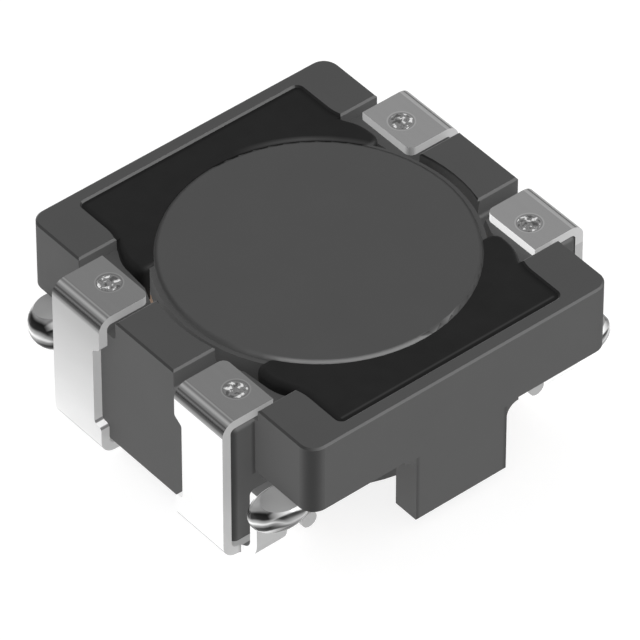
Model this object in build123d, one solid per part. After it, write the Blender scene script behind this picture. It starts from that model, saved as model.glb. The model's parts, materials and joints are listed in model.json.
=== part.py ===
from build123d import *
import os

# A surface-mount common mode choke. A ferrite drum core carries two windings and stands in a
# ring-shaped frame. Two beads of black resin hold the drum in the ring, and four folded sheet
# terminals wrap the frame's blocks and end in solder feet. Each wire end is welded to its
# terminal under a corner of the frame, in a round nugget of molten metal.
# Millimetres. The origin is the middle of the seating plane under the four feet, +Z is up,
# X runs from one pair of terminals to the other and Y along the plain side walls.
# The model is the same to both sides of X and of Y, so sizes are given from the middle.

# Overall height and the two gauges that the choke is made of
height = 4.53
strip = 0.25
wire_d = 0.45

# Drum core
flange_r = 4.108
flange_t = 0.90
disc_inset = 0.12
disc_step = 0.12
post_r = 1.90
drum_lift = 0.41
flange_edge = 0.08

# Frame, outside
block_x = 5.385
block_y = 1.108
corner_x = 4.682
corner_y = 3.405
side_y = 5.373
corner_depth = 2.13
corner_round = 0.43
column_setback = 0.105
column_round = 0.17
column_gap = 0.23
seat_edge = 0.14
top_edge = 0.05
bottom_edge = 0.08

# Frame, inside
ring_gap = 0.122
window_x = 3.434
window_round = 0.17
shelf_x = 3.795
flare_top_y = 3.85
flare_end_y = 2.55
pocket_wall = 0.409
pocket_depth = 1.10
groove_depth = 0.59
groove_overlap = 0.012
groove_round = 0.10
lead_room = 0.085

# Feet under the side walls
foot_x = 1.419
foot_wall = 0.751
foot_lift = 0.35
foot_blend = 0.36

# Resin beads
fill_drop = 0.045
fill_end_y = 2.15
fill_end_round = 0.28
fill_round = 0.16

# Terminals
tab_drop = 0.108
tab_in_x = 4.084
tab_gap_y = 0.326
tab_width = 1.814
tab_corner = 0.20
top_bend = 0.386
bottom_bend = 0.434
notch_width = 0.266
notch_top = 3.41
notch_slope = 0.18
notch_bottom = 0.927
notch_round = 0.12
solder_foot = 1.70
arm_in_x = 4.145
arm_width = 0.939
arm_blend = 0.115
arm_reach = 0.583
arm_bend = 0.58
weld_tab_height = 2.24
weld_tab_round = 0.15
spot_x = 4.58
spot_y = 2.41
spot_d = 0.72
spot_sink = 0.04

# Weld nuggets
nugget_x = 4.712
nugget_y = 4.230
nugget_z = 1.947
nugget_gap = 0.02
nugget_half_length = 0.834
nugget_half_width = 0.715
nugget_half_height = 0.540
nugget_tilt = 37.8
tail_r = 0.26

# Windings
coil_r = 3.60
coil_gap = 0.04
coil_rows = 2
coil_relief = 0.11
lead_x = 3.59
lead_z = 0.675
lead_end_y = 4.00
lead_flat = 0.80
lead_bend = 0.40
lower_turn_y = 2.80
upper_turn_y = 2.45

# Heights worked out from them
ledge_z = height - disc_step
upper_flange_z = height - flange_t
lower_flange_z = drum_lift + flange_t
corner_z = height - corner_depth
tab_z = height - tab_drop
shelf_z = tab_z - strip
groove_z = height - groove_depth
column_z = strip + column_gap
pocket_z = height - pocket_depth
fill_z = height - fill_drop

# Places worked out from them
disc_r = flange_r - disc_inset
bore_r = flange_r + ring_gap
column_y = corner_y - column_setback
wall_y = side_y - foot_wall
pocket_y = side_y - pocket_wall
tab_y = block_y + tab_gap_y
tab_end_y = tab_y + tab_width
groove_y = tab_y + groove_overlap
leg_x = block_x + strip
foot_in_x = leg_x - solder_foot
weld_y = tab_end_y + arm_reach
arm_out_x = arm_in_x + arm_width
lead_wall_x = lead_x + wire_d / 2 + lead_room

# Cutting tools run this far past the faces that they cut
over = 0.5


def level(plan, bottom, top):
    """A plan raised from one height to another."""
    return Pos(0, 0, bottom) * extrude(plan, top - bottom)


def block(x0, x1, y0, y1, z0, z1):
    """A box between two corners."""
    middle = Pos((x0 + x1) / 2, (y0 + y1) / 2, (z0 + z1) / 2)
    return middle * Box(x1 - x0, y1 - y0, z1 - z0)


def near(value, target):
    return abs(value - target) < 1e-4


def on_both_sides(solid, plane):
    """The solid and its mirror image."""
    return solid + mirror(solid, about=plane)


def frame_foot():
    """One foot under a side wall, flared where it leaves the wall."""
    wide = foot_x + foot_blend
    root_top = corner_z + bottom_edge
    face = Pos(0, (foot_lift + root_top) / 2) * Rectangle(2 * foot_x, root_top - foot_lift)
    face += Pos(0, (corner_z + root_top) / 2) * Rectangle(2 * wide, root_top - corner_z)
    inner = [v for v in face.vertices() if near(v.Y, corner_z) and near(abs(v.X), foot_x)]
    face = fillet(inner, foot_blend - 0.001)
    return extrude(Plane.XZ.offset(-side_y) * face, foot_wall)


def frame_outside():
    """The ring's outer body: side walls and corners, with the two terminal blocks through it."""
    walls = level(RectangleRounded(2 * corner_x, 2 * side_y, corner_round), corner_z, height)
    rim = [e for e in walls.edges() if near(e.center().Z, corner_z)]
    walls = chamfer(rim, bottom_edge)
    blocks = level(RectangleRounded(2 * block_x, 2 * column_y, column_round), column_z, height)
    return walls + blocks + on_both_sides(frame_foot(), Plane.XZ)


def terminal_recess():
    """The cut that leaves a shelf for each tab, with a deeper groove beside the raised block."""
    reach = block_x + over
    shelf = block(-reach, reach, block_y, corner_y, shelf_z, height + over)
    groove = block(-reach, reach, block_y, groove_y, groove_z, height + over)
    root = [e for e in groove.edges() if near(e.center().Y, block_y) and near(e.center().Z, groove_z)]
    return on_both_sides(shelf + fillet(root, groove_round), Plane.XZ)


def opening_plan(end_y):
    """The plan of the opening above the corners' undersides: the window flares to reach the shelves."""
    top = (window_x, flare_top_y)
    middle = ((window_x + shelf_x) / 2, (flare_top_y + flare_end_y) / 2)
    foot = (shelf_x, flare_end_y)
    outward = TangentArc(top, middle, tangent=(0, -1))
    inward = TangentArc(middle, foot, tangent=outward % 1)
    edge = Line((window_x, end_y), top) + outward + inward
    rest = Polyline(foot, (shelf_x, 0), (0, 0), (0, end_y), (window_x, end_y))
    half = make_face(edge + rest)
    half += mirror(half, about=Plane.YZ)
    return half + mirror(half, about=Plane.XZ)


def pocket_plan():
    """The same plan out to the pockets' ends, which are rounded."""
    plan = opening_plan(pocket_y)
    return fillet([v for v in plan.vertices() if near(abs(v.Y), pocket_y)], window_round)


def frame_opening():
    """Everything that is open inside the ring, from the bore to the pockets for the resin."""
    bore = level(Circle(bore_r), column_z - over, height + over)
    window = level(Rectangle(2 * window_x, 2 * wall_y), foot_lift - over, height + over)
    upper = level(opening_plan(wall_y), corner_z, height + over)
    pocket = level(pocket_plan(), pocket_z, height + over)
    lead_way = level(Rectangle(2 * lead_wall_x, 2 * corner_y), column_z - over, corner_z)
    return bore + window + upper + pocket + lead_way


def is_outer_edge(middle):
    """Whether a shelf's edge is on the outer face or the end of a terminal block."""
    on_end = column_y - column_round < abs(middle.Y) < column_y + 1e-4
    return near(abs(middle.X), block_x) or (on_end and abs(middle.X) > corner_x)


def frame():
    body = frame_outside() - terminal_recess() - frame_opening()
    seat = [e for e in body.edges() if near(e.center().Z, shelf_z) and is_outer_edge(e.center())]
    body = fillet(seat, seat_edge)
    crown = [e for e in body.edges() if near(e.bounding_box().min.Z, height)]
    return chamfer(crown, top_edge)


def drum_core():
    """The drum: a thick post between two flanges, with a low disc on the upper one."""
    outline = Polyline(
        (disc_r, ledge_z),
        (flange_r, ledge_z),
        (flange_r, upper_flange_z),
        (post_r, upper_flange_z),
        (post_r, lower_flange_z),
        (flange_r, lower_flange_z),
        (flange_r, drum_lift),
        (0, drum_lift),
        (0, height),
        (disc_r - disc_step, height),
    )
    shoulder = CenterArc((disc_r - disc_step, ledge_z), disc_step, 0, 90)
    half = make_face(outline + shoulder)
    rims = [v for v in half.vertices() if near(v.X, flange_r) and v.Y < ledge_z - 1e-4]
    return revolve(Plane.XZ * chamfer(rims, flange_edge), Axis.Z)


def resin_bead():
    """The bead on the +Y side: it fills the pocket, laps the flange's ledge and ends beside it."""
    reach = pocket_y - fill_end_y
    plan = pocket_plan() & Pos(0, fill_end_y + reach / 2) * Rectangle(2 * shelf_x, reach)
    plan = fillet([v for v in plan.vertices() if near(v.Y, fill_end_y)], fill_end_round)
    lower = level(plan - Circle(flange_r), pocket_z, ledge_z)
    upper = level(plan - Circle(disc_r), ledge_z, fill_z)
    bead = lower + upper
    in_pocket = block(-shelf_x, shelf_x, corner_y, pocket_y, pocket_z, fill_z)
    ends = bead - in_pocket
    free = [e for e in ends.edges() if near(e.bounding_box().min.Z, fill_z) and (e @ 0.5).Y < corner_y - 1e-4]
    rim = [e for e in free if not near(Vector((e @ 0.5).X, (e @ 0.5).Y).length, disc_r)]
    return fillet(rim, fill_round) + (bead & in_pocket)


def strip_section(outer, radii):
    """The section of sheet folded round outer corners that all turn the same way."""
    inner = []
    for index, (across, up) in enumerate(outer):
        before = outer[max(index - 1, 0)]
        after = outer[min(index + 1, len(outer) - 1)]
        shift = Vector(0, 0)
        for start, end in ((before, (across, up)), ((across, up), after)):
            run = Vector(end[0] - start[0], end[1] - start[1])
            if run.length > 0:
                side = Vector(run.Y, -run.X).normalized() * strip
                shift = Vector(side.X or shift.X, side.Y or shift.Y)
        inner.append((across + shift.X, up + shift.Y))
    outside = FilletPolyline(*outer, radius=radii)
    inside = FilletPolyline(*inner, radius=[r - strip for r in radii])
    ends = Line(outer[0], inner[0]) + Line(outer[-1], inner[-1])
    return make_face(outside + inside + ends)


def leg_notch():
    """The step that narrows the leg beside the raised block, seen along X."""
    deep = tab_y + notch_width
    corners = [
        (tab_y, notch_top + notch_slope / 2 + notch_width),
        (tab_y, notch_top + notch_slope / 2),
        (deep, notch_top - notch_slope / 2),
        (deep, notch_bottom),
        (tab_y, notch_bottom),
        (tab_y, notch_bottom - notch_width),
    ]
    edge = FilletPolyline(*corners, radius=notch_round)
    past = tab_y - over
    back = Polyline(corners[-1], (past, corners[-1][1]), (past, corners[0][1]), corners[0])
    cut = extrude(Plane.YZ.offset(leg_x - strip - over) * make_face(edge + back), strip + 2 * over)
    return cut


def weld_arm():
    """The arm from the solder foot, bent up into the tab that the wire is welded to."""
    root_y = tab_end_y - arm_blend
    middle_x = arm_in_x + arm_width / 2
    plan = Pos(middle_x, (root_y + weld_y) / 2) * Rectangle(arm_width, weld_y - root_y)
    plan += Pos(middle_x, root_y + arm_blend / 2) * Rectangle(arm_width + 2 * arm_blend, arm_blend)
    inner = [v for v in plan.vertices() if near(v.Y, tab_end_y) and near(abs(v.X - middle_x), arm_width / 2)]
    plan = fillet(inner, arm_blend - 0.001)
    section = strip_section([(weld_y, weld_tab_height), (weld_y, 0), (root_y, 0)], [arm_bend])
    folded = extrude(Plane.YZ.offset(arm_in_x - arm_blend) * section, arm_width + 2 * arm_blend)
    arm = folded & level(plan, 0, weld_tab_height)
    top = [e for e in arm.edges() if near(e.center().Z, weld_tab_height) and near(e.length, strip)]
    return fillet(top, weld_tab_round)


def terminal():
    """The terminal of the +X +Y corner: tab, leg and solder foot, with the arm beside the foot."""
    outer = [(tab_in_x, tab_z), (leg_x, tab_z), (leg_x, 0), (foot_in_x, 0)]
    section = strip_section(outer, [top_bend, bottom_bend])
    body = extrude(Plane.XZ.offset(-tab_end_y) * section, tab_width)
    tab_edge = [
        e for e in body.edges()
        if near(e.center().X, tab_in_x) and near(e.center().Y, tab_y) and e.center().Z > shelf_z
    ]
    body = fillet(tab_edge, tab_corner) - leg_notch() + weld_arm()
    ball_r = (spot_d * spot_d / 4 + spot_sink * spot_sink) / (2 * spot_sink)
    return body - Pos(spot_x, spot_y, tab_z - spot_sink + ball_r) * Sphere(ball_r)


def nugget():
    """The weld nugget of the +X +Y corner: a tilted drop round the weld tab, with a short tail."""
    half = Sphere(1, arc_size3=180, align=None)
    half = scale(half, by=(nugget_half_length, nugget_half_width, nugget_half_height))
    drop = Pos(nugget_x, nugget_y, nugget_z) * Rot(nugget_tilt, 0, 0) * (half + Rot(0, 0, 180) * half)
    heel = Vector(nugget_x - nugget_half_length / 2, nugget_y - tail_r / 2, nugget_z - tail_r)
    toe = Vector(lead_x + wire_d / 2 + tail_r / 3, lead_end_y - tail_r, lead_z + wire_d / 2 + tail_r / 2)
    line = Line(heel, toe)
    tail = sweep(path=line, sections=(line ^ 0) * Circle(tail_r)) + Pos(*toe) * Sphere(tail_r)
    behind_tab = block(arm_in_x, arm_out_x, weld_y - strip - over, weld_y, 0, height)
    under_corner = block(0, 2 * nugget_x, 0, 2 * nugget_y, corner_z - nugget_gap, height)
    wire = Pos(lead_x, 0, lead_z) * Rot(-90, 0, 0) * Cylinder(wire_d / 2, 2 * (lead_end_y + over))
    return drop + tail - behind_tab - under_corner - wire


def turns(bottom):
    """A pack of turns round the post, with a bevelled ridge for each outer row of wire."""
    inner_r = post_r + coil_gap
    land_r = coil_r - coil_relief
    outline = [(inner_r, bottom), (land_r, bottom)]
    for row in range(coil_rows):
        low = bottom + row * wire_d
        outline += [(coil_r, low + wire_d / 4), (coil_r, low + wire_d * 3 / 4), (land_r, low + wire_d)]
    outline += [(inner_r, bottom + coil_rows * wire_d)]
    return revolve(Plane.XZ * make_face(Polyline(*outline, close=True)), Axis.Z)


def lead(row_z, turn_y, turn_z):
    """A wire end from the pack, along the bore's wall and down to its welded end at +X +Y."""
    exit_x = coil_r - wire_d
    turn_x = (exit_x + lead_x) / 2 + wire_d / 4
    corners = [
        (exit_x, 0, row_z),
        (turn_x, turn_y, turn_z),
        (lead_x, lead_end_y - lead_flat, lead_z),
        (lead_x, lead_end_y, lead_z),
    ]
    path = FilletPolyline(*corners, radius=lead_bend)
    return sweep(path=path, sections=(path ^ 0) * Circle(wire_d / 2))


def winding(bottom, row, turn_y):
    """One wire: its turns and its two ends, both on the +X side, from the row given."""
    row_z = bottom + (row + 0.5) * wire_d
    turn_z = min(row_z, pocket_z - coil_gap - wire_d / 2)
    return turns(bottom) + on_both_sides(lead(row_z, turn_y, turn_z), Plane.XZ)


def save(name, solid):
    solid.label = name
    export_step(solid, os.path.join("parts", name + ".step"))


def corner_copies(solid):
    """A solid of the +X +Y corner, copied to all four, named by where it stands."""
    left = mirror(solid, about=Plane.YZ)
    return {
        "right_back": solid,
        "left_back": left,
        "right_front": mirror(solid, about=Plane.XZ),
        "left_front": mirror(left, about=Plane.XZ),
    }


def build():
    os.makedirs("parts", exist_ok=True)
    lower_z = lower_flange_z + coil_gap
    upper_z = upper_flange_z - coil_gap - coil_rows * wire_d
    save("frame", frame())
    save("drum_core", drum_core())
    save("winding_lower", winding(lower_z, 0, lower_turn_y))
    save("winding_upper", mirror(winding(upper_z, coil_rows - 1, upper_turn_y), about=Plane.YZ))
    bead = resin_bead()
    save("resin_bead_back", bead)
    save("resin_bead_front", mirror(bead, about=Plane.XZ))
    for place, solid in corner_copies(terminal()).items():
        save("terminal_" + place, solid)
    for place, solid in corner_copies(nugget()).items():
        save("weld_nugget_" + place, solid)


build()
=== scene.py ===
# %% [markdown]
# # A surface-mount common mode choke
# A choke like this is four kinds of material held close together: dull grey ferrite, black resin,
# bright tin plate and a little copper. The solid pieces come ready made and in their real places, so
# this lesson is about what they look like: the camera, the light and the finish of each surface, and
# a few pieces whose fine form is made here.

# %% Load the finished solids
import json
from math import cos, pi, radians, sin
import bpy
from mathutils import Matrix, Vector


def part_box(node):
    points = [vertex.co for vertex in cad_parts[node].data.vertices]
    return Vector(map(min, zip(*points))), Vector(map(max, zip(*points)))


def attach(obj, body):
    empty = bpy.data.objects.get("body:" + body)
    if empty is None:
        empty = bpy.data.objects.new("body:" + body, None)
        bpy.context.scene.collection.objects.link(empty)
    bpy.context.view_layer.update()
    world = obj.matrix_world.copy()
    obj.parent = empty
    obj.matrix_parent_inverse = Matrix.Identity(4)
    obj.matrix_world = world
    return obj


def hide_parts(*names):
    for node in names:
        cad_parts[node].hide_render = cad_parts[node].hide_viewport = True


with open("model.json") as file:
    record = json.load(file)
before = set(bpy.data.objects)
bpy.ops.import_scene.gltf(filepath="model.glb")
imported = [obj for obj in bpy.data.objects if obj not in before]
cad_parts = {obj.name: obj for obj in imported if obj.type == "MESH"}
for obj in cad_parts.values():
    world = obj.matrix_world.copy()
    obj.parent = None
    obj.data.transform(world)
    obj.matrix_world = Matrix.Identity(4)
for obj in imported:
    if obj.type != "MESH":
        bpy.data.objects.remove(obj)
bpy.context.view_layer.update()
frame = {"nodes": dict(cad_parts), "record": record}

MM = 0.001
nodes = frame["nodes"]
print("solids:", ", ".join(sorted(nodes)))

# %% [markdown]
# ## The camera
# The picture that this scene follows was drawn from far away with a long lens: its edges close up by
# only a few percent from front to back. Such a camera is given by the way it looks, how far away it
# stands and how wide it sees. The point it looks at is on the axis of the choke, a little below the top.

# %% Place the camera
TURN = radians(39.587)
DROP = radians(42.543)
DISTANCE = 188.8 * MM
PIXELS_PER_FOCAL_LENGTH = 7833.9
PICTURE_WIDTH = 640
SENSOR_WIDTH = 36
SHIFT_ACROSS = 0.00203
SHIFT_UP = -0.11046
FARTHEST_SEEN = 10
top_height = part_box("frame")[1].z


def look_direction(turn, drop):
    """The way a camera looks that is turned from +Y towards +X and then tipped down."""
    return Vector((sin(turn) * cos(drop), cos(turn) * cos(drop), -sin(drop)))


look = look_direction(TURN, DROP)
camera = bpy.data.objects.new("camera", bpy.data.cameras.new("camera"))
camera.data.sensor_width = SENSOR_WIDTH
camera.data.lens = SENSOR_WIDTH * PIXELS_PER_FOCAL_LENGTH / PICTURE_WIDTH
camera.location = Vector((0, 0, top_height)) - look * DISTANCE
camera.rotation_euler = look.to_track_quat("-Z", "Y").to_euler()
camera.data.shift_x = SHIFT_ACROSS
camera.data.shift_y = SHIFT_UP
camera.data.clip_end = FARTHEST_SEEN
bpy.context.scene.collection.objects.link(camera)
bpy.context.scene.camera = camera
print("camera at", [round(c / MM, 1) for c in camera.location], "mm, lens", round(camera.data.lens, 1))

# %% [markdown]
# ## Writing materials as sums
# Shader maths is easier to read as a line of Python than as a web of nodes. A Field stands for a value
# that changes over a surface, and adding or multiplying Fields lays down the Math nodes. A Maker has one
# method for every other kind of node, and a Finish is the Maker of a material.

# %% A small language for materials


class Field:
    """A value that varies over a surface, for use in Python sums."""

    def __init__(self, maker, socket):
        self.maker = maker
        self.socket = socket

    def math(self, operation, *values):
        """The sum that one Math node does, of the values given."""
        inputs = dict(enumerate(values))
        return self.maker.node("ShaderNodeMath", {"operation": operation}, inputs)

    def __add__(self, other):
        return self.math("ADD", self, other)

    def __radd__(self, other):
        return self.math("ADD", other, self)

    def __sub__(self, other):
        return self.math("SUBTRACT", self, other)

    def __rsub__(self, other):
        return self.math("SUBTRACT", other, self)

    def __mul__(self, other):
        return self.math("MULTIPLY", self, other)

    def __rmul__(self, other):
        return self.math("MULTIPLY", other, self)

    def __gt__(self, other):
        return self.math("GREATER_THAN", self, other)

    def __lt__(self, other):
        return self.math("LESS_THAN", self, other)

    def __truediv__(self, other):
        return self.math("DIVIDE", self, other)

    def absolute(self):
        return self.math("ABSOLUTE", self)

    def root(self):
        return self.math("SQRT", self)

    def least(self, other):
        return self.math("MINIMUM", self, other)

    def angle_to(self, other):
        """The angle, in radians, of a point that lies this far across and the other far up."""
        return self.math("ARCTAN2", self, other)


class Maker:
    """A tree of nodes under construction."""

    def __init__(self, tree):
        self.tree = tree

    def plug(self, socket, value):
        """A Field is linked to the socket, and a plain value is set on it."""
        if isinstance(value, Field):
            self.tree.links.new(value.socket, socket)
        else:
            socket.default_value = value

    def node(self, kind, settings=None, inputs=None, output=0):
        """Any kind of node, with its settings and inputs by name, as the Field it gives."""
        made = self.tree.nodes.new(kind)
        for key, value in (settings or {}).items():
            setattr(made, key, value)
        for key, value in (inputs or {}).items():
            self.plug(made.inputs[key], value)
        return Field(self, made.outputs[output])


class Finish(Maker):
    """A material under construction, round one Principled shader."""

    def __init__(self, name, owner=None):
        self.material = owner or bpy.data.materials.new(name)
        self.material.use_nodes = True
        super().__init__(self.material.node_tree)
        self.shader = self.tree.nodes.get("Principled BSDF")

    def set(self, **values):
        """Values for the shader's sockets, with _ for each space in a socket's name."""
        for key, value in values.items():
            self.plug(self.shader.inputs[key.replace("_", " ")], value)

    def place(self):
        """Where a point is on the object, in metres."""
        return self.node("ShaderNodeTexCoord", output="Object")

    def noise(self, scale, detail=2.0, stretch=(1, 1, 1)):
        """Soft random spots, so many to the metre."""
        where = self.node("ShaderNodeMapping", inputs={"Vector": self.place(), "Scale": stretch})
        inputs = {"Vector": where, "Scale": scale, "Detail": detail}
        return self.node("ShaderNodeTexNoise", inputs=inputs, output="Fac")

    def blend(self, amount, first, second):
        """A colour between two others: sockets 6 and 7 of a Mix node take colours, and 2 gives one."""
        inputs = {0: amount, 6: first, 7: second}
        return self.node("ShaderNodeMix", {"data_type": "RGBA"}, inputs, output=2)

    def bump(self, height, strength, depth):
        """The surface's normal after a height in metres times depth."""
        inputs = {"Height": height, "Strength": strength, "Distance": depth}
        return self.node("ShaderNodeBump", inputs=inputs, output="Normal")

    def dull(self, level):
        """How strongly a surface shines where it isn't metal."""
        self.shader.inputs["Specular IOR Level"].default_value = level


def grey(level):
    return (level, level, level, 1)


print("Field, Maker and Finish are ready")

# %% [markdown]
# ## Knowing which way a face looks
# The finish of a pressed or stamped piece depends on the way a face looks: its edges get painted shade
# and painted highlights, and a cut through sheet is duller than the rolled skin. The object's own normal
# says which way that is, and its place says where, so the finish stays with the piece from every side.

# %% Read places and directions as numbers


def three_of(finish, vector):
    """The x, y and z of a vector, each as a Field."""
    inputs = {"Vector": vector}
    return [finish.node("ShaderNodeSeparateXYZ", inputs=inputs, output=axis) for axis in "XYZ"]


def millimetres(finish):
    """Where a point is on the object, along x, y and z."""
    return [value * (1 / MM) for value in three_of(finish, finish.place())]


def facing(finish):
    """The way a face looks: its normal along x, y and z."""
    return three_of(finish, finish.node("ShaderNodeTexCoord", output="Normal"))


def ramp(finish, value, stops):
    """A grey that runs through the levels given, at places from 0 to 1."""
    made = finish.tree.nodes.new("ShaderNodeValToRGB")
    colours = made.color_ramp
    colours.interpolation = "EASE"
    while len(colours.elements) < len(stops):
        colours.elements.new(0.5)
    for element, (position, level) in zip(colours.elements, stops):
        element.position = position
        element.color = grey(level)
    finish.plug(made.inputs["Fac"], value)
    return Field(finish, made.outputs["Color"])


def near(value, middle, width):
    """One at the middle, falling to nought a width away on both sides."""
    return 1 - ((value - middle).absolute() * (1 / width)).least(1.0)


print("directions can be read")

# %% [markdown]
# ## Ferrite
# The frame and the drum are pressed from ferrite powder and fired. The surface is an even dark grey
# with a very fine grain, and hardly shines. Two noises make it: a fine one for the grain, and a wide
# faint one, because no fired surface has quite one tone. One function lays both down, and each piece
# then adds painted shade and painted highlights of its own on its edges.

# %% Lay down fired ferrite
GRAINS = 60000
CLOUDS = 700
GRAIN_DEPTH = 4e-6
FERRITE_LEVEL = 0.070


def fired_ferrite(name):
    """A ferrite finish without its edges, and its plain tone."""
    made = Finish(name)
    grain = made.noise(GRAINS, detail=3)
    clouds = made.noise(CLOUDS)
    made.set(Roughness=0.62 + 0.1 * grain, Normal=made.bump(grain, 0.12, GRAIN_DEPTH))
    made.dull(0.2)
    return made, FERRITE_LEVEL + 0.010 * grain + 0.006 * clouds


print("ferrite can be laid down")

# %% [markdown]
# The frame has a fine edge round its top, with painted shade where it runs along Y and a painted
# highlight where it runs along X. Its upright corners are rounded and get painted shade, so they look
# darker than the walls on both sides of them. The product of two parts of the normal is large only on
# such a corner or edge, so it makes a good mask. Thin lines of painted shade lie where a foot leaves its
# wall and where a corner leaves its block, and the walls that look inwards get painted shade, most of
# all the strip of wall above the resin.

# %% Measures of the frame's edges
# Where the thin lines of painted shade lie, and how wide they are.
FOOT_SHADE_X = 1.379
FOOT_SHADE_WIDTH = 0.08
ROOT_SHADE_X = 4.722
ROOT_SHADE_WIDTH = 0.09
CORNER_UNDERSIDE = 2.40
CORNER_FROM_Y = 3.0
POCKET_WALL_Z = 4.44
print("the line at a foot is", FOOT_SHADE_WIDTH, "mm wide")

# %% How strongly each painted shade and highlight shows
PAINTED_EDGE_SHADE = 0.5
PAINTED_EDGE_HIGHLIGHT = 0.75
PAINTED_CORNER_SHADE = 0.42
PAINTED_FOOT_SHADE = 0.4
PAINTED_ROOT_SHADE = 0.5
PAINTED_INWARD_SHADE = 0.3
PAINTED_POCKET_SHADE = 0.35
# The lighter edge is a painted highlight, and the darker corner is painted shade.
print("a rubbed edge is lighter by", PAINTED_EDGE_HIGHLIGHT, "and a rounded corner darker by", PAINTED_CORNER_SHADE)

# %% Finish the frame
ferrite, plain_ferrite = fired_ferrite("ferrite")
across, along, upward = facing(ferrite)
frame_x, frame_y, frame_z = millimetres(ferrite)
from_middle = frame_x.absolute()
# Painted shade on the top edges that look along X, and a painted highlight on those that look along Y.
shaded_edge = across * upward * 2
highlit_edge = along * upward * 2
# Painted shade on the rounded upright corners.
corner_shade = (across * along * 2).absolute()
looks_in = (across * frame_x) < -1.0
looks_along = along.absolute() > 0.9
is_low = frame_z < CORNER_UNDERSIDE
# Thin lines of painted shade where a foot leaves its wall and where a corner leaves its block.
foot_shade_line = near(from_middle, FOOT_SHADE_X, FOOT_SHADE_WIDTH) * is_low * looks_along
at_corner = frame_y.absolute() > CORNER_FROM_Y
root_shade_line = near(from_middle, ROOT_SHADE_X, ROOT_SHADE_WIDTH) * (1 - is_low) * looks_along * at_corner
shaded_pocket_wall = looks_in * (frame_z > POCKET_WALL_Z)
edge_light_and_shade = 1 - PAINTED_EDGE_SHADE * shaded_edge * shaded_edge + PAINTED_EDGE_HIGHLIGHT * highlit_edge * highlit_edge
painted_edge_light = edge_light_and_shade - PAINTED_CORNER_SHADE * corner_shade
thin_shade_lines = 1 - PAINTED_FOOT_SHADE * foot_shade_line - PAINTED_ROOT_SHADE * root_shade_line
# Painted shade on the walls that look inwards, and more on the strip of wall above the resin.
painted_line_and_wall_shade = thin_shade_lines - PAINTED_INWARD_SHADE * looks_in - PAINTED_POCKET_SHADE * shaded_pocket_wall
ferrite.set(Base_Color=plain_ferrite * painted_edge_light * painted_line_and_wall_shade)
print("frame finished")

# %% [markdown]
# The drum's low disc has a rounded shoulder, ground smooth. Its light is painted: a highlight on the
# side that faces -Y and shade on the far side. How far a face looks towards that side runs from -1 to 1,
# and a ramp with a gain turns it into a tone. The slope of the face keeps that tone on the shoulder
# alone.

# %% Finish the drum
SHOULDER_LIGHT_TONES = [(0.0, 0.10), (0.5, 0.11), (0.8, 0.19), (0.89, 0.30), (0.95, 0.78), (1.0, 0.82)]
SHOULDER_GAIN = 4.0
JUST_OVER_ONE = 1.0001
HIGHLIGHT_SIDE = Vector((-0.375, -0.927, 0))
drum_ferrite, plain_drum = fired_ferrite("drum_ferrite")
drum_x, drum_y, drum_up = facing(drum_ferrite)
sideways = (JUST_OVER_ONE - drum_up * drum_up).root()
toward = (drum_x * HIGHLIGHT_SIDE.x + drum_y * HIGHLIGHT_SIDE.y) / sideways
# Painted highlight on the shoulder's -Y side and painted shade on its far side.
painted_shoulder_light = ramp(drum_ferrite, toward * 0.5 + 0.5, SHOULDER_LIGHT_TONES) * SHOULDER_GAIN
shoulder = (2 * drum_up * sideways) * (drum_up > 0.05)
drum_ferrite.set(Base_Color=plain_drum * (1 + shoulder * (painted_shoulder_light - 1)))
print("drum finished")

# %% [markdown]
# ## Resin
# The resin is black and slightly satin. It was poured wet, so it is not quite even. Painted shade makes
# it darkest in a thin line along the walls, a painted highlight lies in a line beside the front end
# wall, and a grey band is laid in a rim behind the disc. All of these follow places: the pocket's walls,
# and a ring just outside the disc.

# %% Measures of the pocket, its painted lines and the grey band
POCKET_END = 4.964
POCKET_X = 3.434
SHELF_X = 3.795
FLARE_FROM = 2.55
FLARE_TO = 3.85
DISC_RADIUS = 3.988
GREY_BAND_OUT = 0.06
GREY_BAND_WIDTH = 0.13
GREY_BAND_X = 2.3
GREY_BAND_SPREAD = 1.7
END_SHADE_IN = 0.04
END_SHADE_WIDTH = 0.08
HIGHLIGHT_LINE_IN = 0.13
HIGHLIGHT_LINE_WIDTH = 0.05
HIGHLIGHT_FROM_SIDE = 0.12
SIDE_SHADE_WIDTH = 1 / 6
print("the pocket's side moves in by", round(SHELF_X - POCKET_X, 3), "mm towards its end")

# %% How strongly each part of the resin shows
BLACK = 0.007
SKIN_TONE = 0.006
POOL_TONE = 0.004
GREY_BAND_TONE = 0.06
HIGHLIGHT_LINE_TONE = 0.026
PAINTED_WALL_SHADE = 0.6
print("plain resin has level", BLACK)

# %% Put the resin together
resin = Finish("resin")
skin = resin.noise(2500, detail=3)
pool = resin.noise(500)
in_x, in_y = millimetres(resin)[:2]
pocket_y = in_y.absolute()
flare_limits = {
    "Value": pocket_y,
    "From Min": FLARE_FROM,
    "From Max": FLARE_TO,
    "To Min": SHELF_X,
    "To Max": POCKET_X,
}
pocket_side = resin.node("ShaderNodeMapRange", {"interpolation_type": "SMOOTHSTEP"}, flare_limits)
from_side = pocket_side - in_x.absolute()
# A thin line of painted shade along the pocket's sides and its end.
side_shade = 1 - (from_side * (1 / SIDE_SHADE_WIDTH)).least(1.0)
from_end = POCKET_END - pocket_y
end_shade = near(from_end, END_SHADE_IN, END_SHADE_WIDTH)
in_front = in_y < 0.0
# A painted highlight in a line beside the front end wall.
painted_highlight_line = near(from_end, HIGHLIGHT_LINE_IN, HIGHLIGHT_LINE_WIDTH) * in_front * (from_side > HIGHLIGHT_FROM_SIDE)
from_disc = (in_x * in_x + in_y * in_y).root() - DISC_RADIUS
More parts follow.
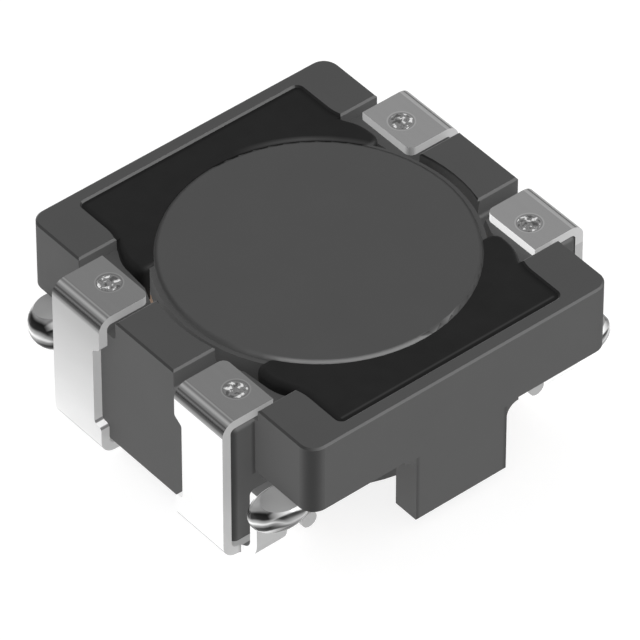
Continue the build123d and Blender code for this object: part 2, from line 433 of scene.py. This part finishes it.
# A grey band in a rim just outside the disc, on its back half.
grey_band_side = (in_y > 0.0) * near(in_x, GREY_BAND_X, GREY_BAND_SPREAD)
grey_band = near(from_disc, GREY_BAND_OUT, GREY_BAND_WIDTH) * grey_band_side * (0.5 + pool)
resin_wall_shade = (side_shade + end_shade).least(1.0)
uneven_black = BLACK + SKIN_TONE * skin + POOL_TONE * pool
with_band_and_highlight = uneven_black + GREY_BAND_TONE * grey_band + HIGHLIGHT_LINE_TONE * painted_highlight_line
resin.set(
    Base_Color=with_band_and_highlight * (1 - PAINTED_WALL_SHADE * resin_wall_shade),
    Roughness=0.42 + 0.2 * skin,
    Normal=resin.bump(skin, 0.25, 2e-5),
)
resin.dull(0.22)
print("resin done")

# %% [markdown]
# ## Tin plate
# The terminals are stamped from plated strip and folded. The rolled skin mirrors the studio softly and
# the cut edges are duller. Over each top bend, painted reflections lie in bands, light and dark, that
# run along the bend. The angle round the bend comes from where a point is, and a ramp turns it into the
# bands. Each pair of terminals has painted bands of its own, and the pair on the right is painted
# lighter.

# %% Measures of the strip
LEG_X = 5.635
TAB_TOP = 4.422
BEND = 0.386
STRIP_END_Y = 3.30
TAB_END_X = 4.20
TAB_UNDERSIDE = 4.10
STEP_FROM_Z = 0.60
STEP_TO_Z = 3.80
LEG_INSIDE_X = 5.30
FOOT_TOP = 0.50
SPOT_X = 4.58
SPOT_Y = 2.41
SPOT_SHIFT_X = 0.03
SPOT_SHIFT_Y = -0.02
SPOT_RADIUS = 0.30
RING_WIDTH = 0.03
HIGHLIGHT_RING_OUT = 0.045
SHADE_RING_OUT = 0.01
print("a top bend has an outer radius of", BEND, "mm")

# %% Levels of the strip, from black to white
# Painted light makes the right pair's tops, cut sides and front tab end lighter than the left pair's.
TOP_LEVEL = 0.53
TOP_LIGHT_AT_RIGHT = 0.20
RING_CONTRAST = 0.3
LEG_LEVEL = 0.99
FAR_LEG_SHADE = 0.11
FAR_LEG_SHADE_PER_MM = 0.106
UNDER_BEND_SHADE_LEVEL = 0.35
SIDE_LEVEL = 0.43
SIDE_LIGHT_AT_RIGHT = 0.12
LOW_SIDE_LIGHT_AT_RIGHT = 0.4
SIDE_LOW_TO_Z = 3.0
TAB_END_LEVEL = 0.47
TAB_END_LIGHT_AT_FRONT = 0.5
ARM_EDGE_SHADE = 0.28
ARM_SIDE_LEVEL = 0.9
print("the tab tops have levels", TOP_LEVEL, "and", TOP_LEVEL + TOP_LIGHT_AT_RIGHT)

# %% Painted reflections over the top bends
LEFT_BEND_REFLECTIONS = [
    (0.00, 0.44), (0.08, 0.76), (0.16, 0.46), (0.28, 1.00), (0.42, 0.50), (0.49, 0.20),
    (0.56, 0.44), (0.66, 0.09), (0.74, 0.09), (0.88, 0.28), (1.00, 0.44),
]
RIGHT_BEND_REFLECTIONS = [
    (0.00, 0.73), (0.06, 1.00), (0.17, 0.90), (0.26, 0.26), (0.48, 0.22), (0.58, 0.60),
    (0.66, 0.75), (0.80, 0.26), (0.90, 0.20), (0.97, 0.40), (1.00, 0.60),
]
print("bands have", len(LEFT_BEND_REFLECTIONS), "and", len(RIGHT_BEND_REFLECTIONS), "levels")

# %% Finish the tinned strip
tin = Finish("tinned_strip")
rolled = tin.noise(7000, stretch=(1, 0.06, 0.3))
at_x, at_y, at_z = millimetres(tin)
to_x, to_y, to_z = facing(tin)
out_x = at_x.absolute()
out_y = at_y.absolute()
on_right = at_x > 0.0
on_left_back = (1 - on_right) * (at_y > 0.0)
# Painted reflections in bands over the top bends, a set for each pair.
round_bend = (out_x - (LEG_X - BEND)).angle_to(at_z - (TAB_TOP - BEND)) * (2 / pi)
left_reflections = ramp(tin, round_bend, LEFT_BEND_REFLECTIONS)
right_reflections = ramp(tin, round_bend, RIGHT_BEND_REFLECTIONS)
bend_reflections = left_reflections * (1 - on_right) + right_reflections * on_right
in_bend = (out_x > LEG_X - BEND) * (at_z > TAB_TOP - BEND)
from_spot_x = (at_x - SPOT_SHIFT_X).absolute() - SPOT_X
from_spot_y = (at_y - SPOT_SHIFT_Y).absolute() - SPOT_Y
from_spot = (from_spot_x * from_spot_x + from_spot_y * from_spot_y).root()
# A ring of painted highlight and a ring of painted shade round each spot.
highlight_ring = near(from_spot, SPOT_RADIUS + HIGHLIGHT_RING_OUT, RING_WIDTH)
shade_ring = near(from_spot, SPOT_RADIUS + SHADE_RING_OUT, RING_WIDTH)
painted_ring_light = highlight_ring - shade_ring
flat_top = (TOP_LEVEL + TOP_LIGHT_AT_RIGHT * on_right) * (1 + RING_CONTRAST * painted_ring_light)
leg_face = LEG_LEVEL - on_left_back * (FAR_LEG_SHADE + FAR_LEG_SHADE_PER_MM * at_z)
looks_up = to_z > 0.7
skin_tone = in_bend * bend_reflections + (1 - in_bend) * (looks_up * flat_top + (1 - looks_up) * leg_face)
# Painted shade on faces that look down.
shaded_underside = (0.0 - to_z) > 0.3
even_tone = shaded_underside * UNDER_BEND_SHADE_LEVEL + (1 - shaded_underside) * skin_tone
rolled_tone = even_tone * (0.97 + 0.06 * rolled)
print("rolled faces have their tone")

# %% [markdown]
# A cut face isn't a mirror, so it is dull grey paint to the shader, with Metallic at nought. Cut faces
# are the strip's two sides, the inner end of each tab, the step in each leg, and the sides and upper
# edge of each weld arm. Where the step turns, painted light and shade run its cut from dark to nearly
# white, by a ramp on the upward part of the normal. The upper edges of the weld arms get painted
# shade.

# %% Finish the cut faces
STEP_LIGHT_TONES = [(0.0, 0.43), (0.25, 0.43), (0.45, 0.16), (0.75, 0.18), (0.92, 1.0), (1.0, 1.0)]
in_strip = out_y < STRIP_END_Y
in_arm = 1 - in_strip
looks_x = to_x * to_x > 0.5
looks_y = to_y * to_y > 0.5
tab_end = looks_x * (at_z > TAB_UNDERSIDE) * (out_x < TAB_END_X)
in_step = (at_z > STEP_FROM_Z) * (at_z < STEP_TO_Z) * (to_x * to_x < 0.2) * (out_x > LEG_INSIDE_X)
inside_foot = (at_z < FOOT_TOP) * (to_z > 0.5) * in_strip
arm_edge = in_arm * looks_up
cut = (looks_y + looks_x * in_arm + arm_edge + tab_end + in_step + inside_foot).least(1.0)
# Painted light on the right pair's cut sides, most on their low parts.
low_side_light_at_right = LOW_SIDE_LIGHT_AT_RIGHT * on_right * (at_z < SIDE_LOW_TO_Z)
side_tone = SIDE_LEVEL + SIDE_LIGHT_AT_RIGHT * on_right + low_side_light_at_right
# Painted light and shade on the step's cut, by how far it looks up.
painted_step_light = ramp(tin, to_z.absolute(), STEP_LIGHT_TONES)
tab_end_tone = TAB_END_LEVEL + TAB_END_LIGHT_AT_FRONT * on_right * (at_y < 0.0)
side_or_step = in_step * painted_step_light + (1 - in_step) * side_tone
cut_tone = tab_end * tab_end_tone + (1 - tab_end) * side_or_step - arm_edge * ARM_EDGE_SHADE
arm_side = looks_x * in_arm
any_cut = arm_side * ARM_SIDE_LEVEL + (1 - arm_side) * cut_tone
tin.set(
    Base_Color=cut * any_cut + (1 - cut) * rolled_tone,
    Metallic=1 - cut,
    Roughness=0.20 + 0.05 * rolled + 0.3 * cut,
    Normal=tin.bump(rolled, 0.015, 2e-6),
)
tin.dull(0.2)
print("tin plate done")

# %% [markdown]
# ## Weld metal
# A weld nugget froze from a melted drop, so it is as smooth as a mirror and shows the whole studio as
# bands. A ramp on the angle round the drop paints the bands along it, another ramp those that cross its
# two ends, and noise bends both a little. Some shine is left to the lights, and the pressed top is dull.

# %% Measures of the nuggets and their bands
NUGGET_X = 4.712
NUGGET_Y = 4.230
NUGGET_Z = 1.947
NUGGET_REACH = 0.737
END_SHARE = 1.4
END_SLANT = 0.16
BANDS_BENT = 0.2
ENDS_BENT = 0.25
NUGGET_BANDS = [
    (0.00, 0.10), (0.08, 0.22), (0.18, 0.36), (0.22, 0.20), (0.27, 1.00), (0.35, 1.00),
    (0.375, 0.03), (0.39, 0.04), (0.44, 0.34), (0.47, 0.50), (0.52, 0.16), (0.57, 0.01), (1.00, 0.24),
]
END_BANDS = [
    (0.00, 0.28), (0.20, 0.40), (0.32, 0.24), (0.37, 0.01), (0.43, 0.02), (0.47, 0.36), (0.50, 0.90),
    (0.53, 0.30), (0.57, 0.02), (0.62, 0.02), (0.66, 1.00), (0.71, 0.80), (0.76, 0.05), (1.00, 0.16),
]
print("a nugget is", 2 * NUGGET_REACH, "mm long")

# %% Finish the weld nuggets
weld = Finish("weld_metal")
swirl = weld.noise(900, detail=1)
bent = swirl - 0.5
weld_x, weld_y, weld_z = millimetres(weld)
over_x = weld_x.absolute() - NUGGET_X
over_y = weld_y.absolute() - NUGGET_Y
over_z = weld_z - NUGGET_Z
round_drop = over_y.angle_to(over_z) * (1 / pi)
drop_bands = ramp(weld, round_drop.absolute() + bent * BANDS_BENT, NUGGET_BANDS)
round_end = over_x.angle_to(over_z) * (1 / pi)
drop_end = (over_x * over_x * (END_SHARE / NUGGET_REACH ** 2)).least(1.0)
end_tone = ramp(weld, round_end.absolute() + over_y * END_SLANT + bent * ENDS_BENT, END_BANDS)
pressed_top = facing(weld)[2] > 0.98
banded = drop_bands * (1 - drop_end) + end_tone * drop_end
weld.set(
    Base_Color=pressed_top * (0.20 + 0.24 * swirl) + (1 - pressed_top) * banded,
    Metallic=0.15 * (1 - pressed_top),
    Roughness=0.12 + 0.06 * swirl + 0.4 * pressed_top,
)
weld.dull(0.15)
print("weld metal done")

# %% [markdown]
# ## Weld spots
# Each tab carries a round spot where an electrode has pressed and melted it: a low, rough, bubbled
# dome, with painted glints as bright specks. The same thing stands in four places, so Geometry Nodes
# make it once and put it on four points. The noise that roughens it reads the place after the copies
# are made real, which gives each spot a face of its own.

# %% A helper for node groups of geometry


class Shaper(Maker):
    """A Geometry Nodes tree under construction, with named inputs."""

    def __init__(self, name):
        super().__init__(bpy.data.node_groups.new(name, "GeometryNodeTree"))
        self.tree.interface.new_socket("Geometry", in_out="INPUT", socket_type="NodeSocketGeometry")
        self.tree.interface.new_socket("Geometry", in_out="OUTPUT", socket_type="NodeSocketGeometry")
        self.sizes = {}
        self.entry = self.tree.nodes.new("NodeGroupInput")
        self.exit = self.tree.nodes.new("NodeGroupOutput")

    def size(self, name, value):
        """A named input of the tree, with its value for this object."""
        kind = "NodeSocketInt" if isinstance(value, int) else "NodeSocketFloat"
        item = self.tree.interface.new_socket(name, in_out="INPUT", socket_type=kind)
        self.sizes[item.identifier] = value
        return Field(self, self.entry.outputs[name])

    def given(self):
        """The points and edges that the tree is given."""
        return Field(self, self.entry.outputs[0])

    def make(self, name, points, edges, shape, material):
        """The plain mesh that the tree makes of some points and edges."""
        real = self.node("GeometryNodeRealizeInstances", inputs={"Geometry": shape})
        smooth = self.node("GeometryNodeSetShadeSmooth", inputs={"Geometry": real})
        dressed = self.node("GeometryNodeSetMaterial", inputs={"Geometry": smooth, "Material": material})
        self.plug(self.exit.inputs[0], dressed)
        start = bpy.data.meshes.new(name + "_start")
        start.from_pydata(points, edges, [])
        made = bpy.data.objects.new(name, start)
        bpy.context.scene.collection.objects.link(made)
        modifier = made.modifiers.new("shape", "NODES")
        modifier.node_group = self.tree
        for identifier, value in self.sizes.items():
            modifier[identifier] = value
        depsgraph = bpy.context.evaluated_depsgraph_get()
        finished = bpy.data.meshes.new_from_object(made.evaluated_get(depsgraph))
        made.modifiers.clear()
        made.data = finished
        dress(made, material)
        return made


def dress(piece, material):
    """The one material of a piece."""
    piece.data.materials.clear()
    piece.data.materials.append(material)


print("Shaper is ready")

# %% Finish the spots
# The bright specks are painted glints, and the metal is less of a mirror there.
GLINT_TONES = [(0.0, 0.14), (0.40, 0.26), (0.47, 0.62), (0.52, 0.44), (0.58, 0.80), (0.65, 1.0)]
GLINT_FROM = 0.58
spot_metal = Finish("spot_metal")
bubbles = spot_metal.noise(7200, detail=3)
spot_metal.set(
    Base_Color=ramp(spot_metal, bubbles, GLINT_TONES),
    Metallic=1 - (bubbles > GLINT_FROM) * 0.7,
    Roughness=0.15 + 0.2 * bubbles,
)
print("spot finish done")

# %% Put a spot on each tab
SPOT_Z = 4.404
CORNERS = [(-1, -1), (-1, 1), (1, -1), (1, 1)]


def spot_place(x_side, y_side):
    """The middle of one tab's spot, in metres."""
    x = x_side * SPOT_X + SPOT_SHIFT_X
    y = y_side * SPOT_Y + SPOT_SHIFT_Y
    return x * MM, y * MM, SPOT_Z * MM


spots = Shaper("rough_spots")
spot_radius = spots.size("Spot radius", SPOT_RADIUS * MM)
spot_flatness = spots.size("Flatness", 0.11)
roughness_depth = spots.size("Bubble depth", 0.07 * MM)
bubble_scale = spots.size("Bubbles per metre", 6500.0)
seed = spots.size("Seed", 3.0)
dome = spots.node("GeometryNodeMeshIcoSphere", inputs={"Radius": spot_radius, "Subdivisions": 5})
flat = spots.node("ShaderNodeCombineXYZ", inputs={"X": 1.0, "Y": 1.0, "Z": spot_flatness})
low_dome = spots.node("GeometryNodeTransform", inputs={"Geometry": dome, "Scale": flat})
on_points = {"Points": spots.given(), "Instance": low_dome}
copies = spots.node("GeometryNodeInstanceOnPoints", inputs=on_points)
loose = spots.node("GeometryNodeRealizeInstances", inputs={"Geometry": copies})
where = spots.node("GeometryNodeInputPosition")
noise_settings = {"noise_dimensions": "4D"}
noise_inputs = {"Vector": where, "W": seed, "Scale": bubble_scale, "Detail": 2.0}
bubbling = spots.node("ShaderNodeTexNoise", noise_settings, noise_inputs, output=0)
lift = (bubbling - 0.5) * roughness_depth
offset = spots.node("ShaderNodeCombineXYZ", inputs={"X": 0.0, "Y": 0.0, "Z": lift})
rough = spots.node("GeometryNodeSetPosition", inputs={"Geometry": loose, "Offset": offset})
spot_places = [spot_place(*corner) for corner in CORNERS]
weld_spots = spots.make("weld_spots", spot_places, [], rough, spot_metal.material)
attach(weld_spots, "root")
print("weld spots:", len(weld_spots.data.polygons), "faces")

# %% [markdown]
# ## Wire
# The wire is copper under a clear enamel, which makes it a dull pinkish brown, and its ends were dipped
# in tin before they were welded. Where the enamel stops is a place along Y.

# %% Finish the wire
TINNED_FROM = 3.3
ENAMELLED_COPPER = (0.34, 0.24, 0.18, 1)
wire = Finish("enamelled_wire")
wire_y = millimetres(wire)[1]
tinned = wire_y * wire_y > TINNED_FROM ** 2
drawn = wire.noise(3000, stretch=(1, 0.2, 1))
wire.set(
    Base_Color=wire.blend(tinned, ENAMELLED_COPPER, grey(0.36)),
    Roughness=0.36 + 0.1 * drawn,
)
print("wire done")

# %% [markdown]
# ## The two windings
# A winding is one wire. It comes in along the ring's wall, goes round the post from the outside layer
# inwards in one row and back outwards in the next, and leaves beside the place where it came in. The
# path follows a rule, so Geometry Nodes write it: a long line of points is bent round, and each
# step to the next layer or row takes place over the last part of a turn. The two ends are drawn by
# their corners, which the tree rounds off, and then all of the path gets the wire's round section.

# %% Measures of the wire
WIRE = 0.45 * MM
OUTER_LAYER = 3.375 * MM
LAYERS = 3
STEP_SHARE = 0.16
START_ANGLE = radians(2.5)
LEAD_START_X = 3.4825 * MM
LEAD_END_X = 3.59 * MM
LEAD_END_Y = 4.00 * MM
LEAD_FALL_Y = 3.20 * MM
LEAD_END_Z = 0.675 * MM
LEAD_BEND = 0.4 * MM
BEND_POINTS = 8
TURN_POINTS = 96
WIRE_SIDES = 14


def lead_corners(side, row, turn_y, turn_z, hand):
    """The corners of one wire end, from the turns to the weld."""
    leave_x = OUTER_LAYER * cos(START_ANGLE)
    leave_y = -OUTER_LAYER * sin(START_ANGLE)
    corners = [
        (leave_x, leave_y, row),
        (LEAD_START_X, turn_y, turn_z),
        (LEAD_END_X, LEAD_FALL_Y, LEAD_END_Z),
        (LEAD_END_X, LEAD_END_Y, LEAD_END_Z),
    ]
    return [(x * side, y * hand, z) for x, y, z in corners]


print("the wire runs", 2 * LAYERS, "times round the post")

# %% Write the path as nodes


def stepped(shaper, turn, at):
    """Nought before a turn's number, one after it, with the step over the turn's last part."""
    limits = {"Value": turn, "From Min": at - STEP_SHARE, "From Max": at + 0.0}
    return shaper.node("ShaderNodeMapRange", {"interpolation_type": "SMOOTHSTEP"}, limits)


def winding_sizes(made, lowest_row):
    """The named inputs of a winding's tree."""
    return {
        "wire": made.size("Wire diameter", WIRE),
        "outer": made.size("Outer layer radius", OUTER_LAYER),
        "bottom": made.size("Lowest row", lowest_row),
        "bend": made.size("Corner radius", LEAD_BEND),
        "start": made.size("Start angle", START_ANGLE),
        "points": made.size("Points in all", TURN_POINTS * 2 * LAYERS),
    }


def turns(made, sizes, side, lead_row):
    """The turns as a long curve that goes in by layers, changes row and comes out again."""
    line = made.node("GeometryNodeCurvePrimitiveLine", inputs={"End": (0.0, 0.0, 1.0)})
    many = made.node("GeometryNodeResampleCurve", inputs={"Curve": line, "Count": sizes["points"]})
    share = made.node("GeometryNodeSplineParameter")
    turn = share * (2.0 * LAYERS - 2 * START_ANGLE / (2 * pi))
    inwards = sum(stepped(made, turn, at) for at in range(1, LAYERS))
    layer = inwards - sum(stepped(made, turn, at) for at in range(LAYERS + 1, 2 * LAYERS))
    upper = stepped(made, turn, LAYERS)
    row = upper if lead_row == 0 else 1 - upper
    radius = sizes["outer"] - layer * sizes["wire"]
    angle = turn * (2 * pi) + sizes["start"]
    place = made.node("ShaderNodeCombineXYZ", inputs={
        "X": angle.math("COSINE", angle) * radius * side,
        "Y": angle.math("SINE", angle) * radius * side,
        "Z": row * sizes["wire"] + sizes["bottom"],
    })
    return made.node("GeometryNodeSetPosition", inputs={"Geometry": many, "Position": place})


def rounded_ends(made, sizes):
    """The two wire ends that the tree is given as corners, rounded off."""
    ends = made.node("GeometryNodeMeshToCurve", inputs={"Mesh": made.given()})
    rounding = {"Curve": ends, "Count": BEND_POINTS, "Radius": sizes["bend"]}
    return made.node("GeometryNodeFilletCurve", {"mode": "POLY"}, rounding)


def tube(made, paths, thickness):
    """Some paths with a wire's round section."""
    joined = made.tree.nodes.new("GeometryNodeJoinGeometry")
    for path in paths:
        made.plug(joined.inputs[0], path)
    circle = {"Resolution": WIRE_SIDES, "Radius": thickness * 0.5}
    section = made.node("GeometryNodeCurvePrimitiveCircle", inputs=circle)
    along_path = {"Curve": Field(made, joined.outputs[0]), "Profile Curve": section, "Fill Caps": True}
    return made.node("GeometryNodeCurveToMesh", inputs=along_path)


def wind(name, node, side, lowest_row, lead_row, turn_y, turn_z):
    """One winding as a plain mesh, in the place of its solid."""
    made = Shaper(name)
    sizes = winding_sizes(made, lowest_row)
    paths = [turns(made, sizes, side, lead_row), rounded_ends(made, sizes)]
    start_z = lowest_row + lead_row * WIRE
    end_z = lowest_row + (1 - lead_row) * WIRE
    incoming = lead_corners(side, start_z, turn_y, turn_z, -side)
    outgoing = lead_corners(side, end_z, turn_y, turn_z, side)
    edges = [(0, 1), (1, 2), (2, 3), (4, 5), (5, 6), (6, 7)]
    shape = tube(made, paths, sizes["wire"])
    piece = made.make(name, incoming + outgoing, edges, shape, wire.material)
    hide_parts(node)
    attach(piece, "root")
    print(name, len(piece.data.polygons), "faces")


print("the path can be written")

# %% Wind both wires
LOWER_ROW = 1.575 * MM
LOWER_TURN_Y = 2.80 * MM
UPPER_ROW = 2.915 * MM
UPPER_TURN_Y = 2.45 * MM
UPPER_TURN_Z = 3.165 * MM
wind("lower_turns", "winding_lower", 1, LOWER_ROW, 0, LOWER_TURN_Y, LOWER_ROW)
wind("upper_turns", "winding_upper", -1, UPPER_ROW, 1, UPPER_TURN_Y, UPPER_TURN_Z)

# %% [markdown]
# ## The bore's worn rim
# Pressing and handling have worn the top edge of the ring's bore back a little, enough to let a glint of
# copper be seen beside a terminal. It is too small a thing for the solid, so a copy of the ring gets it:
# the doubles among its points are merged, the points on the rim move outwards, and every flat face keeps
# the solid's own normals, so that it stays as flat to the light as it is.

# %% Measures of the rim
SHELF_LEVEL = 4.172
BORE_RADIUS = 4.230
RIM_WORN = 0.065
RADIUS_SLACK = 0.004
LEVEL_SLACK = 0.01


def worn(x, y, z):
    """Where a point of the ring goes: outwards if it is on the bore's top edge."""
    on_bore = abs((x * x + y * y) ** 0.5 - BORE_RADIUS) < RADIUS_SLACK
    if on_bore and z > SHELF_LEVEL - LEVEL_SLACK:
        x, y = (value * (1 + RIM_WORN / BORE_RADIUS) for value in (x, y))
    return x, y, z


print("the rim is worn by", RIM_WORN, "mm")

# %% Reshape a copy of the ring
DECIMALS = 4
SHARP_FROM = radians(42)
SAME_WAY = 0.99999
NEARLY_SAME_WAY = 0.9999


def merged(mesh):
    """The places of a mesh's points, in millimetres and without the doubles, and each point's place."""
    places = {}
    number = []
    for point in mesh.vertices:
        place = tuple(round(value / MM, DECIMALS) for value in point.co)
        number.append(places.setdefault(place, len(places)))
    return list(places), number


def kept_normals(source, mesh, kept, still):
    """The solid's own normal at each corner of a face that hasn't turned, and zero for a new one."""
    for new_face, face in zip(mesh.polygons, kept):
        old_face = source.polygons[face]
        flat = new_face.normal.dot(old_face.normal) > SAME_WAY
        for corner in old_face.loop_indices:
            normal = source.corner_normals[corner].vector
            straight = flat and normal.dot(old_face.normal) > NEARLY_SAME_WAY
            yield tuple(normal) if still[face] or straight else (0.0, 0.0, 0.0)


def reshaped(node, name, move):
    """A copy of a solid with its points moved, which stands for it."""
    source = nodes[node].data
    places, number = merged(source)
    faces = [[number[point] for point in face.vertices] for face in source.polygons]
    moved = [move(*place) for place in places]
    kept = [face for face in range(len(faces)) if len(set(faces[face])) == 3]
    still = [all(moved[point] == places[point] for point in face) for face in faces]
    mesh = bpy.data.meshes.new(name)
    mesh.from_pydata([Vector(place) * MM for place in moved], [], [faces[face] for face in kept])
    mesh.shade_smooth()
    mesh.set_sharp_from_angle(angle=SHARP_FROM)
    mesh.normals_split_custom_set(list(kept_normals(source, mesh, kept, still)))
    piece = bpy.data.objects.new(name, mesh)
    bpy.context.scene.collection.objects.link(piece)
    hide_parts(node)
    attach(piece, "root")
    return piece


ring = reshaped("frame", "ring", worn)
dress(ring, ferrite.material)
print("the ring stands in its place")

# %% Give every solid its finish
finishes = {
    "ferrite": ferrite,
    "resin": resin,
    "tinned_strip": tin,
    "weld_metal": weld,
    "enamelled_wire": wire,
}
for part in frame["record"]["subparts"]:
    solid = nodes[part["node"]]
    finish = drum_ferrite if part["node"] == "drum_core" else finishes[part["material_slot"]]
    dress(solid, finish.material)
print("finished", len(nodes), "solids")

# %% [markdown]
# ## Floor and light
# The choke stands on a plain white floor in a white room. One large soft lamp stands to the right and
# one to the left of the camera's line, so that the two near sides are a little lighter than the top and
# the corner between them is darker. The lamps cast no shadow: the room's own light makes the soft one
# where the choke meets the floor. Light Path lets the floor and the room look white to the camera and
# in reflections without putting more light on the choke.

# %% Lay the floor
FLOOR_HALF = 2.0
FLOOR_LEVEL = -0.02 * MM
FLOOR_WHITE = 0.8
FLOOR_GLOW = 0.32
square = [(-1, -1), (1, -1), (1, 1), (-1, 1)]
floor_mesh = bpy.data.meshes.new("floor")
floor_mesh.from_pydata([(x * FLOOR_HALF, y * FLOOR_HALF, 0) for x, y in square], [], [(0, 1, 2, 3)])
floor = bpy.data.objects.new("floor", floor_mesh)
floor.location.z = FLOOR_LEVEL
bpy.context.scene.collection.objects.link(floor)


def seen_as(finish, *rays):
    """One where the ray is of a kind named, and nought elsewhere."""
    kinds = [finish.node("ShaderNodeLightPath", output="Is " + ray + " Ray") for ray in rays]
    return sum(kinds[1:], kinds[0])


ground = Finish("floor")
ground.set(Base_Color=grey(FLOOR_WHITE), Roughness=0.9)
shine = seen_as(ground, "Camera", "Glossy", "Transmission") * FLOOR_GLOW
glow = ground.node("ShaderNodeEmission", inputs={"Color": grey(1), "Strength": shine})
plain = Field(ground, ground.shader.outputs[0])
both = ground.node("ShaderNodeAddShader", inputs={0: plain, 1: glow})
ground.plug(ground.tree.nodes["Material Output"].inputs["Surface"], both)
dress(floor, ground.material)
print("floor laid")

# %% Light the room
ROOM = 0.30
MIRRORED_ROOM = 0.36
LAMP_DISTANCE = 3.0
LAMP_SIZE = 2.5
world = bpy.data.worlds.new("studio")
bpy.context.scene.world = world
sky = Finish("studio", owner=world)
room = sky.tree.nodes["Background"]
room.inputs["Color"].default_value = grey(1)
white = seen_as(sky, "Camera", "Transmission") * (1 - ROOM)
sky.plug(room.inputs["Strength"], ROOM + white + seen_as(sky, "Glossy") * (MIRRORED_ROOM - ROOM))


def soft_lamp(name, direction, brightness, mirrored):
    """A broad lamp far off in a direction, so bright that a white wall facing it has that level."""
    away = Vector(direction).normalized()
    data = bpy.data.lights.new(name, "AREA")
    data.size = LAMP_SIZE
    data.energy = brightness * pi * pi * LAMP_DISTANCE ** 2
    data.use_shadow = False
    made = bpy.data.objects.new(name, data)
    made.location = away * LAMP_DISTANCE
    made.rotation_euler = (-away).to_track_quat("-Z", "Y").to_euler()
    made.visible_glossy = mirrored
    bpy.context.scene.collection.objects.link(made)


soft_lamp("right_lamp", (0.55, -0.70, 0.46), 1.04, True)
soft_lamp("left_lamp", (-0.72, 0.66, 0.21), 1.26, False)
bpy.context.scene.view_settings.view_transform = "Standard"
print("lamps on")
